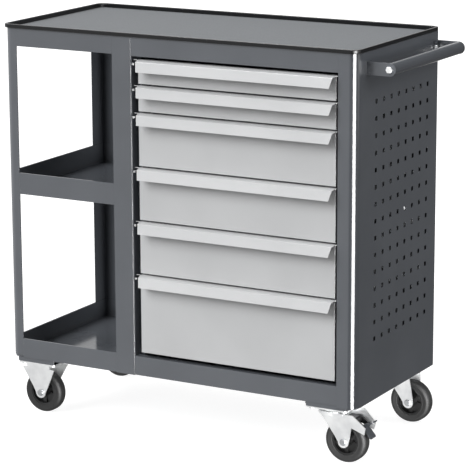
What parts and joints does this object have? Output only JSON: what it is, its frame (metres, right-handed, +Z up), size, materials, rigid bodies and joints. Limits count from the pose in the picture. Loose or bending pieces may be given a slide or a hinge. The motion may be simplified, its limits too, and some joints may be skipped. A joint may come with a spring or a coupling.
{
  "type": "tool cart",
  "caption": "Workshop cart with an open shelf bay, a bank of drawers, a matted worktop, a perforated side panel, a push handle and wheeled casters.",
  "frame": {"origin": "on the floor, at the centre of the whole cart's footprint, with its drawer grips and push handle", "axes": "+Z up, +X to the right seen from the drawers' side, drawers open towards -Y"},
  "size_m": [0.976, 0.444, 0.929],
  "materials": {
    "body_paint": "semi-gloss powder coat",
    "edge_paint": "satin black enamel",
    "mat_rubber": "fine-ribbed",
    "drawer_paint": "satin powder coat",
    "tray_paint": "satin powder coat",
    "grip_paint": "semi-gloss powder coat",
    "zinc": "bright zinc plate",
    "tyre_rubber": "matte",
    "wheel_plastic": "moulded",
    "brake_plastic": "satin"
  },
  "bodies": {
    "frame": {"bay_top_fascia": "body_paint", "bay_top_rails": "body_paint", "bottom_shelf": "body_paint", "cabinet_back": "body_paint", "cabinet_floor": "body_paint", "caster_brackets": "body_paint", "caster_plate_bolts": "zinc", "caster_plates": "zinc", "centre_post": "body_paint", "corner_post_front_left": "body_paint", "corner_post_rear_left": "body_paint", "drawer_bottom_rail": "body_paint", "drawer_fascia": "body_paint", "handle_bolts": "zinc", "handle_brackets": "body_paint", "handle_grip": "grip_paint", "middle_shelf": "body_paint", "partition_wall": "body_paint", "side_panel_right": "body_paint", "slide_rails": "zinc", "slide_uprights": "body_paint", "worktop_mat": "mat_rubber", "worktop_rim": "edge_paint", "worktop_tray": "edge_paint", "caster_front_left_fork": "zinc", "caster_front_left_axle": "zinc", "caster_rear_left_fork": "zinc", "caster_rear_left_axle": "zinc"},
    "drawer_1": {"drawer_1_front": "drawer_paint", "drawer_1_tray": "tray_paint", "drawer_1_runners": "zinc"},
    "drawer_2": {"drawer_2_front": "drawer_paint", "drawer_2_tray": "tray_paint", "drawer_2_runners": "zinc"},
    "drawer_3": {"drawer_3_front": "drawer_paint", "drawer_3_tray": "tray_paint", "drawer_3_runners": "zinc"},
    "drawer_4": {"drawer_4_front": "drawer_paint", "drawer_4_tray": "tray_paint", "drawer_4_runners": "zinc"},
    "drawer_5": {"drawer_5_front": "drawer_paint", "drawer_5_tray": "tray_paint", "drawer_5_runners": "zinc"},
    "drawer_6": {"drawer_6_front": "drawer_paint", "drawer_6_tray": "tray_paint", "drawer_6_runners": "zinc"},
    "caster_front_left_roller": {"caster_front_left_tyre": "tyre_rubber", "caster_front_left_wheel": "wheel_plastic"},
    "caster_rear_left_roller": {"caster_rear_left_tyre": "tyre_rubber", "caster_rear_left_wheel": "wheel_plastic"},
    "caster_front_right_swivel": {"caster_front_right_fork": "zinc", "caster_front_right_axle": "zinc", "brake_housing": "brake_plastic"},
    "caster_front_right_roller": {"caster_front_right_tyre": "tyre_rubber", "caster_front_right_wheel": "wheel_plastic"},
    "caster_rear_right_swivel": {"caster_rear_right_fork": "zinc", "caster_rear_right_axle": "zinc"},
    "caster_rear_right_roller": {"caster_rear_right_tyre": "tyre_rubber", "caster_rear_right_wheel": "wheel_plastic"},
    "brake_lever": {"brake_pedal": "grip_paint"}
  },
  "joints": [
    {"name": "drawer_1_slide", "type": "slide", "parent": "frame", "child": "drawer_1", "axis": [0, -1, 0], "range_m": [0, 0.3]},
    {"name": "drawer_2_slide", "type": "slide", "parent": "frame", "child": "drawer_2", "axis": [0, -1, 0], "range_m": [0, 0.3]},
    {"name": "drawer_3_slide", "type": "slide", "parent": "frame", "child": "drawer_3", "axis": [0, -1, 0], "range_m": [0, 0.3]},
    {"name": "drawer_4_slide", "type": "slide", "parent": "frame", "child": "drawer_4", "axis": [0, -1, 0], "range_m": [0, 0.3]},
    {"name": "drawer_5_slide", "type": "slide", "parent": "frame", "child": "drawer_5", "axis": [0, -1, 0], "range_m": [0, 0.3]},
    {"name": "drawer_6_slide", "type": "slide", "parent": "frame", "child": "drawer_6", "axis": [0, -1, 0], "range_m": [0, 0.3]},
    {"name": "caster_front_left_spin", "type": "hinge", "parent": "frame", "child": "caster_front_left_roller", "pos_m": [-0.417, -0.16, 0.05], "axis": [0, 1, 0], "continuous": true},
    {"name": "caster_rear_left_spin", "type": "hinge", "parent": "frame", "child": "caster_rear_left_roller", "pos_m": [-0.417, 0.178, 0.05], "axis": [0, 1, 0], "continuous": true},
    {"name": "caster_front_right_swivel", "type": "hinge", "parent": "frame", "child": "caster_front_right_swivel", "pos_m": [0.3485, -0.16, 0.11], "axis": [0, 0, 1], "continuous": true},
    {"name": "caster_front_right_spin", "type": "hinge", "parent": "caster_front_right_swivel", "child": "caster_front_right_roller", "pos_m": [0.384, -0.16, 0.05], "axis": [0, 1, 0], "continuous": true},
    {"name": "caster_rear_right_swivel", "type": "hinge", "parent": "frame", "child": "caster_rear_right_swivel", "pos_m": [0.3485, 0.178, 0.11], "axis": [0, 0, 1], "continuous": true},
    {"name": "caster_rear_right_spin", "type": "hinge", "parent": "caster_rear_right_swivel", "child": "caster_rear_right_roller", "pos_m": [0.384, 0.178, 0.05], "axis": [0, 1, 0], "continuous": true},
    {"name": "brake_pedal_hinge", "type": "hinge", "parent": "caster_front_right_swivel", "child": "brake_lever", "pos_m": [0.4275, -0.16, 0.087], "axis": [0, 1, 0], "range_deg": [-18, 0]}
  ]
}
